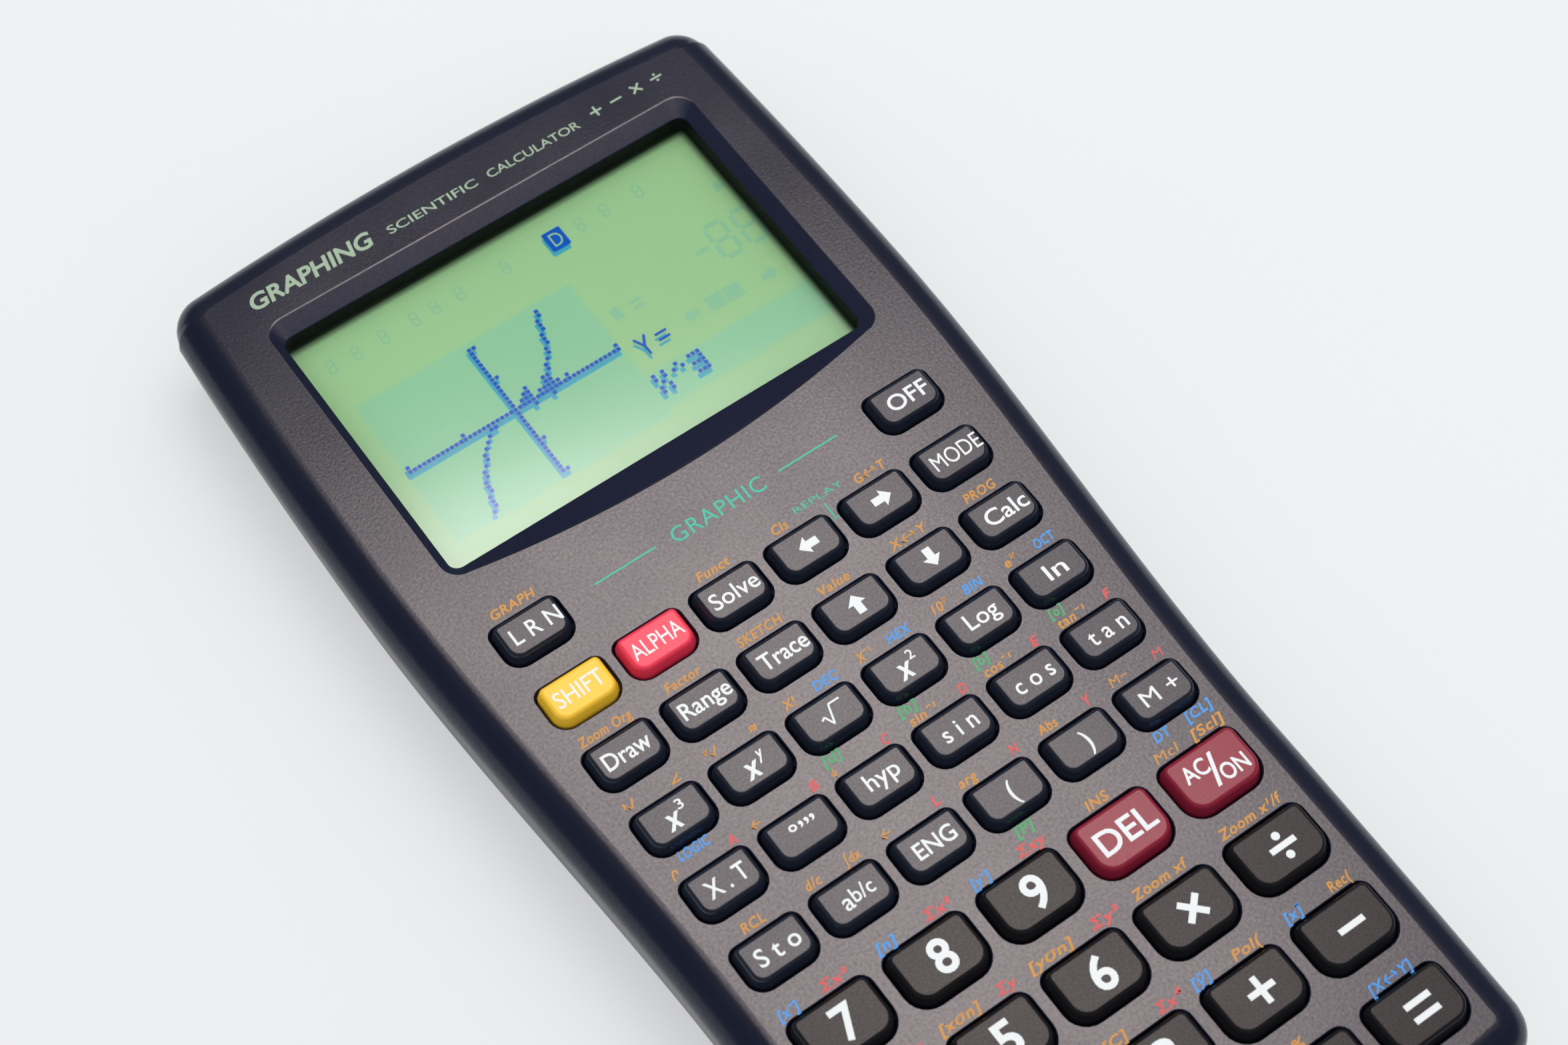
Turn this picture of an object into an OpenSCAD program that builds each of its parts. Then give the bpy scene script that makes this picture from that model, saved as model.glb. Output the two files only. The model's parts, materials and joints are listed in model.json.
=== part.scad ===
// Handheld graphing calculator: two-part case, dot display, 52 sprung keys and a hinged cell cover.
// Millimetres. The back lies on z = 0, the display end points to +Y and the keys face +Z.

/* [Case] */
// Length of the case along its centre line
case_length = 182.8; // [178:0.2:190]
// Half width of the case beside the display
display_half_width = 43.5; // [42:0.1:45]
// Half width of the case beside the lower keys
grip_half_width = 39.3; // [38.8:0.1:40]
// Height of the flat face above the back
face_height = 16.4; // [16:0.1:18]
// Height of the line where the two case halves meet
parting_height = 11.5; // [11:0.1:12]
// Corner radius of the outline
corner_radius = 5; // [4:0.5:7]
// Radius of the arched top and bottom edges
end_arc_radius = 420; // [300:10:600]
// Width of the rolled edge around the face
roll_width = 4; // [3:0.1:4.5]
// Thickness of the face and of the back
skin = 2; // [1.6:0.1:2.2]

/* [Display] */
// Half width of the display opening
window_half_width = 31.7; // [30:0.1:32]
// Lower edge of the display opening
window_low = 34.1; // [33.6:0.1:35]
// Upper edge of the display opening
window_high = 75.8; // [74:0.1:76]
// How far the sloping surround drops below the face
surround_drop = 0.8; // [0.5:0.1:1]
// How far the surround's lower edge bows towards the keys
surround_bow = 3; // [1:0.1:3.4]
// How far the surround's outer edge sits to the right of the display opening
surround_shift = 0.5; // [0:0.1:0.6]
// Height of the clear lens's upper surface
lens_top = 13.3; // [13:0.1:13.4]

/* [Keys] */
// Spacing of the six function key columns
function_pitch_x = 11.4; // [11.2:0.1:11.6]
// Spacing of the function key rows
function_pitch_y = 10.28; // [10.2:0.02:10.6]
// Spacing of the five number key columns
number_pitch_x = 13.68; // [13.5:0.02:13.9]
// Spacing of the number key rows
number_pitch_y = 12.33; // [12.3:0.01:12.5]
// Drop from the last function row to the first number row
block_gap = 11.92; // [11.8:0.02:12.4]
// Width and height of a function key's opening
function_opening = [9.8, 6.6]; // [6:0.1:10]
// Width and height of a number key's opening
number_opening = [11.75, 8.4]; // [8:0.05:12]
// Clearance between a key and its opening
key_gap = 0.2; // [0.15:0.05:0.3]
// How far a key stands proud of the face
key_rise = 1.6; // [1.2:0.1:2]
// How far a key travels when pressed
key_travel = 1.2; // [0.8:0.1:1.2]

/* [Cells and cover] */
// Thickness of a 20 mm coin cell
cell_thickness = 3.2; // [1.6, 2.5, 3.2]
// Centre of the two cells along Y
cell_y = 49.4; // [49:0.1:50]
// Half width of the cell cover
cover_half_width = 25; // [24.5:0.1:26]
// Position of the cover's hinge line along Y
hinge_y = 38.2; // [38:0.1:38.2]
// Far edge of the cover along Y
cover_far = 63; // [62:0.1:65]
// Thickness of the cover
cover_thickness = 1.6; // [1.2:0.1:1.6]

/* [Hidden] */
// Key table: node name, row, column, colour
KEYS = [
    ["key_lrn", 0, 0, "dimgray"], ["key_off", 0, 5, "dimgray"],
    ["key_shift", 1, 0, "gold"], ["key_alpha", 1, 1, "crimson"], ["key_solve", 1, 2, "dimgray"],
    ["key_left", 1, 3, "dimgray"], ["key_right", 1, 4, "dimgray"], ["key_mode", 1, 5, "dimgray"],
    ["key_draw", 2, 0, "dimgray"], ["key_range", 2, 1, "dimgray"], ["key_trace", 2, 2, "dimgray"],
    ["key_up", 2, 3, "dimgray"], ["key_down", 2, 4, "dimgray"], ["key_calc", 2, 5, "dimgray"],
    ["key_cube", 3, 0, "dimgray"], ["key_power", 3, 1, "dimgray"], ["key_root", 3, 2, "dimgray"],
    ["key_square", 3, 3, "dimgray"], ["key_log", 3, 4, "dimgray"], ["key_ln", 3, 5, "dimgray"],
    ["key_variable", 4, 0, "dimgray"], ["key_degree", 4, 1, "dimgray"], ["key_hyp", 4, 2, "dimgray"],
    ["key_sin", 4, 3, "dimgray"], ["key_cos", 4, 4, "dimgray"], ["key_tan", 4, 5, "dimgray"],
    ["key_store", 5, 0, "dimgray"], ["key_fraction", 5, 1, "dimgray"], ["key_eng", 5, 2, "dimgray"],
    ["key_open_bracket", 5, 3, "dimgray"], ["key_close_bracket", 5, 4, "dimgray"],
    ["key_memory_plus", 5, 5, "dimgray"],
    ["key_7", 6, 0, "darkslategray"], ["key_8", 6, 1, "darkslategray"],
    ["key_9", 6, 2, "darkslategray"], ["key_delete", 6, 3, "firebrick"],
    ["key_clear_on", 6, 4, "firebrick"],
    ["key_4", 7, 0, "darkslategray"], ["key_5", 7, 1, "darkslategray"],
    ["key_6", 7, 2, "darkslategray"], ["key_multiply", 7, 3, "darkslategray"],
    ["key_divide", 7, 4, "darkslategray"],
    ["key_1", 8, 0, "darkslategray"], ["key_2", 8, 1, "darkslategray"],
    ["key_3", 8, 2, "darkslategray"], ["key_plus", 8, 3, "darkslategray"],
    ["key_minus", 8, 4, "darkslategray"],
    ["key_0", 9, 0, "darkslategray"], ["key_point", 9, 1, "darkslategray"],
    ["key_exponent", 9, 2, "darkslategray"], ["key_answer", 9, 3, "darkslategray"],
    ["key_equals", 9, 4, "darkslategray"]
];
CASE_NODES = [
    "front_case", "rear_case", "battery_cover", "display_module",
    "circuit_board", "key_mat", "batteries", "screws"
];

// Rows 0 to 5 hold function keys, rows 6 to 9 hold number keys
first_number_row = 6;
row_one_y = 10.5;
function function_row_y(row) = row_one_y - (row - 1) * function_pitch_y;
number_row_top = function_row_y(first_number_row - 1) - block_gap;
function is_number(k) = k[1] >= first_number_row;
function key_x(k) = is_number(k) ? (k[2] - 2) * number_pitch_x : (k[2] - 2.5) * function_pitch_x;
function key_y(k) = is_number(k)
    ? number_row_top - (k[1] - first_number_row) * number_pitch_y
    : function_row_y(k[1]);
function opening(k) = is_number(k) ? number_opening : function_opening;

// Key heights and the shape of the cap
key_top = face_height + key_rise;
skin_under = face_height - skin;
flange_top = skin_under - 0.2;
flange_thickness = 0.8;
flange_reach = 0.4;
key_under = flange_top - flange_thickness;
key_shoulder = face_height + 0.5;
key_edge = key_top - 0.25;
key_side_inset = 0.5;
key_top_inset = 0.75;
upper_corner = 1;
lower_corner = 1.9;
dome_pocket_radius = 2.5;
dome_pocket_top = key_under + key_travel + 0.3;

// Mat, circuit board and display stack
dome_radius = 2.3;
dome_top = key_under - 0.05;
mat_top = 11.7;
board_top = 11;
board_bottom = 9.8;
board_half_width = 33.6;
board_low = -85.4;
board_high = 77;
mat_high = 26.7;
board_corner = 2;
// X, Y and radius of each covered chip
CHIPS = [[-6, 8, 6.5], [10, -20, 4.5]];
chip_height = 1.3;
crystal_height = 2;
crystal_radius = 1.5;
lens_thickness = 0.8;
lens_margin = 1.2;
rim_thickness = 1.6;
glass_thickness = 0.53;
reflector_thickness = 0.12;
bond = 0.02;

// Sloping surround of the display opening
window_corner = 1.4;
surround_side = 1.7;
surround_low = 1.6;
surround_high = 2.9;
surround_corner = 2.8;

// Case walls, the rolled edges and the tongue and groove between the halves
wall = 3.2;
roll_angles = [0, 20, 40, 60, 78, 90];
back_insets = [wall, 2.1, 1.6, 1.35, 0.3, 0];
back_heights = [0, 0.35, 1, 2.2, parting_height - 0.3, parting_height];
groove_inset = 1;
groove_depth = 1.1;
tongue_outer_inset = 1.15;
tongue_inner_inset = 2.2;
tongue_low = parting_height - 1.5;
tongue_high = parting_height + 0.9;
// Depth by which one shape is sunk into another so that they join
overlap = 0.5;

// Screws and the bosses they enter
SCREWS = [[-33, 83], [33, 83], [-17, 20.8], [17, 20.8], [-20.52, -73.36], [20.52, -73.36]];
boss_radius = 1.8;
pillar_radius = 3;
boss_clearance = 0.25;
pilot_radius = 0.9;
pilot_top = 13.4;
screw_top = 12.8;
clearance_radius = 1.15;
head_seat = 3;
head_radius = 1.75;
head_height = 1.3;
head_pocket_radius = 2;

// Cell bay and cover
cell_diameter = 20;
cell_half_gap = 11;
cell_bottom = 1.8;
cell_top = cell_bottom + cell_thickness;
bay_top = 6.4;
bay_wall = 1.4;
cell_pocket_radius = cell_diameter / 2 + 0.3;
cell_pocket_top = cell_top + 0.2;
contact_hole_radius = 2.2;
cover_gap = 0.25;
cover_depth = cover_thickness + 0.15;
knuckle_radius = 1.1;
hinge_z = knuckle_radius;
pin_radius = 0.7;
pin_hole_radius = 0.77;
pin_length = 1.8;
latch_half_width = 5;
latch_y = 61;
latch_thickness = 0.9;
latch_top = 4.6;
latch_clearance = 0.4;
contact_radius = 1.6;

// Outline of the case
narrow_start = 41;
narrow_end = -41;
display_taper = 0.00055;
grip_taper = 0.0002;
half_length = case_length / 2;
side_steps = 22;
corner_steps = 4;
end_steps = 8;

function ease(t) = t * t * (3 - 2 * t);
function clamp(t) = min(1, max(0, t));
// Half width of the case at height y on the outline
function half_width(y) =
    grip_half_width
    + (display_half_width - grip_half_width) * ease(clamp((y - narrow_end) / (narrow_start - narrow_end)))
    - display_taper * pow(max(0, y - narrow_start), 2)
    - grip_taper * pow(max(0, narrow_end - y), 2);
// Arched end of the case, as a distance from the middle
function end_y(x) = half_length - x * x / (2 * end_arc_radius);

// Right half of the case outline from the bottom centre to the top centre, moved in by inset
function right_side(inset) =
    let (
        low_x = half_width(-half_length) - corner_radius,
        high_x = half_width(half_length) - corner_radius,
        low_y = -end_y(low_x) + corner_radius,
        high_y = end_y(high_x) - corner_radius,
        r = corner_radius - inset
    )
    concat(
        [for (i = [0:end_steps - 1])
            let (x = low_x * i / end_steps) [x, -end_y(x) + inset]],
        [for (i = [0:corner_steps - 1])
            let (a = 90 * i / corner_steps) [low_x + r * sin(a), low_y - r * cos(a)]],
        [for (i = [0:side_steps])
            let (y = low_y + (high_y - low_y) * i / side_steps) [half_width(y) - inset, y]],
        [for (i = [corner_steps - 1:-1:0])
            let (a = 90 * i / corner_steps) [high_x + r * sin(a), high_y + r * cos(a)]],
        [for (i = [end_steps - 1:-1:0])
            let (x = high_x * i / end_steps) [x, end_y(x) - inset]]
    );
function mirrored(side) = [for (i = [len(side) - 2:-1:1]) [-side[i][0], side[i][1]]];
function case_outline(inset) = let (side = right_side(inset)) concat(side, mirrored(side));

// Closed solid through a stack of outlines that all have the same number of points
module loft(outlines, heights) {
    n = len(outlines[0]);
    last = len(outlines) - 1;
    points = [for (i = [0:last]) for (p = outlines[i]) [p[0], p[1], heights[i]]];
    bottom = [[for (j = [0:n - 1]) j]];
    top = [[for (j = [n - 1:-1:0]) last * n + j]];
    lower = [for (i = [0:last - 1]) for (j = [0:n - 1])
        [i * n + j, (i + 1) * n + j, i * n + (j + 1) % n]];
    upper = [for (i = [0:last - 1]) for (j = [0:n - 1])
        [i * n + (j + 1) % n, (i + 1) * n + j, (i + 1) * n + (j + 1) % n]];
    polyhedron(points, concat(bottom, top, lower, upper));
}

module case_loft(insets, heights) {
    loft([for (inset = insets) case_outline(inset)], heights);
}

module case_slab(inset, low, high) {
    translate([0, 0, low])
        linear_extrude(high - low)
            polygon(case_outline(inset));
}

// Rounded rectangle with one radius for its lower corners and one for its upper corners
function arc_points(x, y, r, start, steps) =
    [for (i = [0:steps]) [x + r * cos(start + 90 * i / steps), y + r * sin(start + 90 * i / steps)]];
function rounded(size, low_r, high_r, steps) =
    concat(
        arc_points(size[0] / 2 - high_r, size[1] / 2 - high_r, high_r, 0, steps),
        arc_points(-size[0] / 2 + high_r, size[1] / 2 - high_r, high_r, 90, steps),
        arc_points(-size[0] / 2 + low_r, -size[1] / 2 + low_r, low_r, 180, steps),
        arc_points(size[0] / 2 - low_r, -size[1] / 2 + low_r, low_r, 270, steps)
    );

// Flat plate between two corners, with rounded corners
module plate(low, high, r, thickness) {
    translate([(low[0] + high[0]) / 2, (low[1] + high[1]) / 2, 0])
        linear_extrude(thickness)
            polygon(rounded([high[0] - low[0], high[1] - low[1]], r, r, 4));
}

// The same upright cylinder at every screw
module at_screws(radius, low, high) {
    for (s = SCREWS)
        translate([s[0], s[1], low])
            cylinder(r = radius, h = high - low, $fn = 32);
}

// Display surround: a rectangle whose lower edge bows by the given amount
function surround(shift, margin_x, margin_low, margin_high, bow, r) =
    let (
        w = window_half_width + margin_x,
        low = window_low - margin_low,
        high = window_high + margin_high,
        bow_steps = 10
    )
    concat(
        arc_points(shift + w - r, high - r, r, 0, 4),
        arc_points(shift - w + r, high - r, r, 90, 4),
        arc_points(shift - w + r, low + r, r, 180, 4),
        [for (i = [1:bow_steps - 1])
            let (t = 2 * i / bow_steps - 1) [shift + t * (w - r), low - bow * (1 - t * t)]],
        arc_points(shift + w - r, low + r, r, 270, 4)
    );

module window_cut() {
    translate([0, 0, lens_top - 1])
        plate(
            [-window_half_width, window_low],
            [window_half_width, window_high],
            window_corner,
            face_height - lens_top + 2
        );
    loft(
        [
            surround(0, 0, 0, 0, 0, window_corner),
            surround(
                surround_shift, surround_side, surround_low, surround_high, surround_bow, surround_corner
            )
        ],
        [face_height - surround_drop, face_height + 0.01]
    );
}

module key_openings() {
    for (k = KEYS)
        translate([key_x(k), key_y(k), skin_under - 1])
            linear_extrude(skin + 2)
                polygon(rounded(opening(k), lower_corner + key_gap, upper_corner + key_gap, 4));
}

module front_case() {
    color("slategray")
        difference() {
            union() {
                difference() {
                    case_loft(
                        [for (a = roll_angles) roll_width * (1 - cos(a))],
                        [for (a = roll_angles) parting_height + (face_height - parting_height) * sin(a)]
                    );
                    case_slab(wall, parting_height - 1, skin_under);
                    case_slab(groove_inset, parting_height - 1, parting_height + groove_depth);
                }
                translate([0, 0, lens_top])
                    plate(
                        [-window_half_width - rim_thickness, window_low - rim_thickness],
                        [window_half_width + rim_thickness, window_high + rim_thickness],
                        window_corner + rim_thickness,
                        skin_under + overlap - lens_top
                    );
                at_screws(boss_radius, board_bottom, skin_under + overlap);
            }
            window_cut();
            key_openings();
            at_screws(pilot_radius, board_bottom - 1, pilot_top);
        }
}

module rear_case() {
    bay_half = cover_half_width + cover_gap + pin_length + bay_wall;
    color("dimgray")
        difference() {
            union() {
                difference() {
                    case_loft(back_insets, back_heights);
                    case_slab(wall, skin, parting_height + 1);
                }
                difference() {
                    case_slab(tongue_outer_inset, tongue_low, tongue_high);
                    case_slab(tongue_inner_inset, tongue_low - 1, tongue_high + 1);
                }
                plate(
                    [-bay_half, hinge_y - knuckle_radius - cover_gap - bay_wall],
                    [bay_half, cover_far + cover_gap + bay_wall],
                    1,
                    bay_top
                );
                at_screws(pillar_radius, skin - overlap, board_bottom);
            }
            battery_bay();
            at_screws(clearance_radius, -1, board_bottom + 1);
            at_screws(head_pocket_radius, -1, head_seat);
        }
}

module battery_bay() {
    translate([-cover_half_width - cover_gap, hinge_y, -1])
        cube([
            2 * (cover_half_width + cover_gap),
            cover_far + cover_gap - hinge_y,
            cover_depth + 1
        ]);
    translate([-cover_half_width - cover_gap, hinge_y - knuckle_radius - cover_gap, -1])
        cube([2 * (cover_half_width + cover_gap), knuckle_radius + cover_gap, hinge_z + 1]);
    translate([-cover_half_width - cover_gap, hinge_y, hinge_z])
        rotate([0, 90, 0])
            cylinder(r = knuckle_radius + cover_gap, h = 2 * (cover_half_width + cover_gap), $fn = 48);
    translate([-cover_half_width - cover_gap - pin_length, hinge_y, hinge_z])
        rotate([0, 90, 0])
            cylinder(r = pin_hole_radius, h = 2 * (cover_half_width + cover_gap + pin_length), $fn = 32);
    for (side = [-1, 1])
        translate([side * cell_half_gap, cell_y, 0]) {
            cylinder(r = cell_pocket_radius, h = cell_pocket_top, $fn = 64);
            cylinder(r = contact_hole_radius, h = bay_top + 1, $fn = 32);
        }
    translate([-latch_half_width - latch_clearance, latch_y - latch_clearance, 0])
        cube([
            2 * (latch_half_width + latch_clearance),
            cover_far + cover_gap - latch_y + latch_clearance,
            latch_top + latch_clearance
        ]);
}

module battery_cover() {
    color("dimgray")
        union() {
            translate([-cover_half_width, hinge_y, 0])
                cube([2 * cover_half_width, cover_far - hinge_y, cover_thickness]);
            translate([-cover_half_width, hinge_y, hinge_z])
                rotate([0, 90, 0])
                    cylinder(r = knuckle_radius, h = 2 * cover_half_width, $fn = 48);
            translate([-cover_half_width - pin_length, hinge_y, hinge_z])
                rotate([0, 90, 0])
                    cylinder(r = pin_radius, h = 2 * (cover_half_width + pin_length), $fn = 32);
            translate([-latch_half_width, latch_y, cover_thickness - overlap])
                cube([2 * latch_half_width, latch_thickness, latch_top - cover_thickness + overlap]);
        }
}

// Clear lens, front glass, rear glass and reflector, bonded in a stack under the opening
module display_module() {
    low = [-window_half_width - lens_margin, window_low - lens_margin];
    high = [window_half_width + lens_margin, window_high + lens_margin];
    lens_bottom = lens_top - lens_thickness;
    color("lightblue")
        translate([0, 0, lens_bottom])
            plate(low, high, 1, lens_thickness);
    color("yellowgreen")
        for (i = [1, 2])
            translate([0, 0, lens_bottom - i * (glass_thickness + bond)])
                plate(low, high, 0.4, glass_thickness);
    color("silver")
        translate([0, 0, lens_bottom - 2 * (glass_thickness + bond) - bond - reflector_thickness])
            plate(low, high, 0.4, reflector_thickness);
}

module circuit_board() {
    color("seagreen")
        difference() {
            translate([0, 0, board_bottom])
                plate(
                    [-board_half_width, board_low],
                    [board_half_width, board_high],
                    board_corner,
                    board_top - board_bottom
                );
            at_screws(boss_radius + boss_clearance, board_bottom - 1, board_top + 1);
        }
    // Two epoxy-covered chips, a crystal and the cell contacts, all soldered to the underside
    color("black")
        for (chip = CHIPS)
            translate([chip[0], chip[1], board_bottom - chip_height - bond])
                cylinder(r = chip[2], h = chip_height, $fn = 48);
    color("silver")
        translate([-22, 2, board_bottom - crystal_height - bond])
            cylinder(r = crystal_radius, h = crystal_height, $fn = 32);
    color("gold")
        for (side = [-1, 1])
            translate([side * cell_half_gap, cell_y, cell_top + bond])
                cylinder(r = contact_radius, h = board_bottom - cell_top - 2 * bond, $fn = 32);
}

module key_mat() {
    color("lightgray")
        difference() {
            union() {
                translate([0, 0, board_top])
                    plate(
                        [-board_half_width, board_low],
                        [board_half_width, mat_high],
                        board_corner,
                        mat_top - board_top
                    );
                for (k = KEYS)
                    translate([key_x(k), key_y(k), mat_top - overlap])
                        cylinder(r = dome_radius, h = dome_top - mat_top + overlap, $fn = 32);
            }
            at_screws(boss_radius + boss_clearance, board_top - 1, mat_top + 1);
        }
}

module batteries() {
    color("silver")
        for (side = [-1, 1])
            translate([side * cell_half_gap, cell_y, cell_bottom])
                cylinder(r = cell_diameter / 2, h = cell_thickness, $fn = 96);
}

module screws() {
    color("silver")
        union() {
            at_screws(pilot_radius, head_seat - overlap, screw_top);
            at_screws(head_radius, head_seat - head_height, head_seat);
        }
}

// One key: a shaft with a domed pocket under it, side flanges and a bevelled cap
module key(k) {
    size = opening(k) - [2 * key_gap, 2 * key_gap];
    function cap(inset) = rounded(
        size - [2 * inset, 2 * inset], lower_corner - inset, max(0.3, upper_corner - inset), 3
    );
    color(k[3])
        translate([key_x(k), key_y(k), 0])
            difference() {
                union() {
                    translate([0, 0, key_under])
                        linear_extrude(key_shoulder - key_under)
                            polygon(cap(0));
                    loft(
                        [cap(0), cap(key_side_inset), cap(key_top_inset)],
                        [key_shoulder, key_edge, key_top]
                    );
                    translate([-size[0] / 2 - flange_reach, -size[1] / 4, key_under])
                        cube([size[0] + 2 * flange_reach, size[1] / 2, flange_thickness]);
                }
                translate([0, 0, key_under - 1])
                    cylinder(r = dome_pocket_radius, h = dome_pocket_top - key_under + 1, $fn = 32);
            }
}

front_case();
rear_case();
battery_cover();
display_module();
circuit_board();
key_mat();
batteries();
screws();
for (k = KEYS) key(k);
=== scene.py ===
import json
import math
import bmesh
import bpy
from mathutils import Matrix, Vector


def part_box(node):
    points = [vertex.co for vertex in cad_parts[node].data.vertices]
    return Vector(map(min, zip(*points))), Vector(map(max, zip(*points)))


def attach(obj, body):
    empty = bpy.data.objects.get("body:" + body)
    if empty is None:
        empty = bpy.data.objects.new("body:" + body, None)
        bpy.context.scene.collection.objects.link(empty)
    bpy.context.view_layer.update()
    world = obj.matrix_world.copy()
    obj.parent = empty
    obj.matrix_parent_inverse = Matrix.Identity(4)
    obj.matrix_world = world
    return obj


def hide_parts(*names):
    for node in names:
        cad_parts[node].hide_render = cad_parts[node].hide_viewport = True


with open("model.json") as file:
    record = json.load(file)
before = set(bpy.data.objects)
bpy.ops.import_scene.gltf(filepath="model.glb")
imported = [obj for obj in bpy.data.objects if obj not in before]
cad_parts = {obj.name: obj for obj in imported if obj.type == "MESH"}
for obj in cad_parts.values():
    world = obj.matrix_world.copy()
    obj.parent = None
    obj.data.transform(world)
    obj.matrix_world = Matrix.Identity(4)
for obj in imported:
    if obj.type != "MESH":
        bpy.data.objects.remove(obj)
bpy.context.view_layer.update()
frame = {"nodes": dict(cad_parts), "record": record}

# A handheld graphing calculator. Lengths in this script are millimetres until a mesh is made. Places come
# from the boxes of the CAD frame's nodes wherever a node has them.
MM = 0.001


# ------ places taken from the frame
def corners(node):
    """Lowest and highest corner of a CAD node in millimetres."""
    low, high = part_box(node)
    return low / MM, high / MM


RECORD = frame["record"]
SLOT = {part["node"]: part["material_slot"] for part in RECORD["subparts"]}
BODY = {node: body for body, nodes in RECORD["behaviour"]["bodies"].items() for node in nodes}
KEY_NODES = [node for node in SLOT if node.startswith("key_") and node != "key_mat"]

front_low, front_high = corners("front_case")
rear_high = corners("rear_case")[1]
lens_low, lens_high = corners("display_module")
cover_low, cover_high = corners("battery_cover")
cells_low, cells_high = corners("batteries")
screws_low, screws_high = corners("screws")

TONGUE_HEIGHT = 0.9
FACE = front_high.z
PARTING = rear_high.z - TONGUE_HEIGHT
HALF_LENGTH = front_high.y
DISPLAY_HALF = front_high.x
GRIP_HALF = 39.3
NARROWING = 41
CORNER = 5
END_ARC_RADIUS = 420
DISPLAY_TAPER = 0.00055
GRIP_TAPER = 0.0002
ROLL_WIDTH = 4.5
WALL = 3.2
SKIN = 2

LENS_MARGIN = 1.2
WINDOW_HALF = lens_high.x - LENS_MARGIN
WINDOW_LOW = lens_low.y + LENS_MARGIN
WINDOW_HIGH = lens_high.y - LENS_MARGIN
LENS_TOP = lens_high.z
LENS_THICKNESS = 0.8
WALL_SHADOW = 1.1
WINDOW_CORNER = 1.4
SURROUND_DROP = 0.8
SURROUND_BOW = 3
SURROUND_SHIFT = 0.5
SURROUND_SIDE = 1.7
SURROUND_LOW = 1.6
SURROUND_HIGH = 2.9
SURROUND_CORNER = 2.8

KEY_FLANGE = 0.4
KEY_GAP = 0.2
SCREW_PLACES = [(-33, 83), (33, 83), (-17, 20.8), (17, 20.8), (-20.52, -73.36), (20.52, -73.36)]


# ------ outlines and meshes
def ease(t):
    t = min(1, max(0, t))
    return t * t * (3 - 2 * t)


def half_width(y):
    """Half width of the waisted case at y."""
    width = GRIP_HALF + (DISPLAY_HALF - GRIP_HALF) * ease((y + NARROWING) / (2 * NARROWING))
    width -= DISPLAY_TAPER * max(0, y - NARROWING) ** 2
    return width - GRIP_TAPER * max(0, -NARROWING - y) ** 2


def end_y(x):
    """Arched end of the case at x, measured from the middle."""
    return HALF_LENGTH - x * x / (2 * END_ARC_RADIUS)


def case_outline(inset, side_steps=56, corner_steps=9, end_steps=16):
    """Anticlockwise outline of the case, moved in by inset."""
    low_x = half_width(-HALF_LENGTH) - CORNER
    high_x = half_width(HALF_LENGTH) - CORNER
    low_y = CORNER - end_y(low_x)
    high_y = end_y(high_x) - CORNER
    radius = CORNER - inset
    quarter = [math.pi / 2 * i / corner_steps for i in range(corner_steps)]
    right = [(low_x * i / end_steps, inset - end_y(low_x * i / end_steps)) for i in range(end_steps)]
    right += [(low_x + radius * math.sin(a), low_y - radius * math.cos(a)) for a in quarter]
    for i in range(side_steps + 1):
        y = low_y + (high_y - low_y) * i / side_steps
        right.append((half_width(y) - inset, y))
    right += [(high_x + radius * math.sin(a), high_y + radius * math.cos(a)) for a in reversed(quarter)]
    right += [
        (high_x * i / end_steps, end_y(high_x * i / end_steps) - inset)
        for i in reversed(range(end_steps))
    ]
    return right + [(-x, y) for x, y in reversed(right[1:-1])]


def corner_arc(x, y, radius, start, steps):
    angles = [start + math.pi / 2 * i / steps for i in range(steps + 1)]
    return [(x + radius * math.cos(a), y + radius * math.sin(a)) for a in angles]


def rounded(low, high, low_radius, high_radius=None, steps=6):
    """Rectangle between two corners, with one radius for its lower corners and one for its upper ones."""
    high_radius = low_radius if high_radius is None else high_radius
    outline = []
    for i, radius in enumerate((high_radius, high_radius, low_radius, low_radius)):
        x = low[0] + radius if i in (1, 2) else high[0] - radius
        y = low[1] + radius if i > 1 else high[1] - radius
        outline += corner_arc(x, y, radius, i * math.pi / 2, steps)
    return outline


def centred(width, depth, inset, low_radius, high_radius, steps=6):
    """Rounded rectangle about the origin, moved in by inset."""
    half = (width / 2 - inset, depth / 2 - inset)
    low_radius = max(0.25, low_radius - inset)
    high_radius = max(0.25, high_radius - inset)
    return rounded((-half[0], -half[1]), half, low_radius, high_radius, steps)


def raised(outline, z, offset=(0, 0)):
    return [(x + offset[0], y + offset[1], z) for x, y in outline]


def bar(x0, x1, y0, y1):
    return [(x0, y0), (x1, y0), (x1, y1), (x0, y1)]


def full_turn(steps):
    return [2 * math.pi * i / steps for i in range(steps)]


def add_loft(bm, rings):
    """Closed skin through rings with equal numbers of points, capped at both ends."""
    loops = [[bm.verts.new(point) for point in ring] for ring in rings]
    count = len(loops[0])
    for lower, upper in zip(loops, loops[1:]):
        for i in range(count):
            j = (i + 1) % count
            bm.faces.new((lower[i], lower[j], upper[j], upper[i]))
    bm.faces.new(list(reversed(loops[0])))
    bm.faces.new(loops[-1])


def add_lathe(bm, centre, profile, steps=48):
    """Closed solid of revolution about an upright axis, from (radius, z) points going up."""
    x, y = centre
    angles = full_turn(steps)
    add_loft(bm, [[(x + r * math.cos(a), y + r * math.sin(a), z) for a in angles] for r, z in profile])


def add_rod(bm, x0, x1, y, z, radius, edge=0.0, steps=32):
    """Closed cylinder along X with optional bevels at its ends."""
    stations = [(x0, radius), (x1, radius)]
    if edge:
        stations = [(x0, radius - edge), (x0 + edge, radius), (x1 - edge, radius), (x1, radius - edge)]
    angles = full_turn(steps)
    add_loft(bm, [[(x, y + r * math.cos(a), z + r * math.sin(a)) for a in angles] for x, r in stations])


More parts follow.
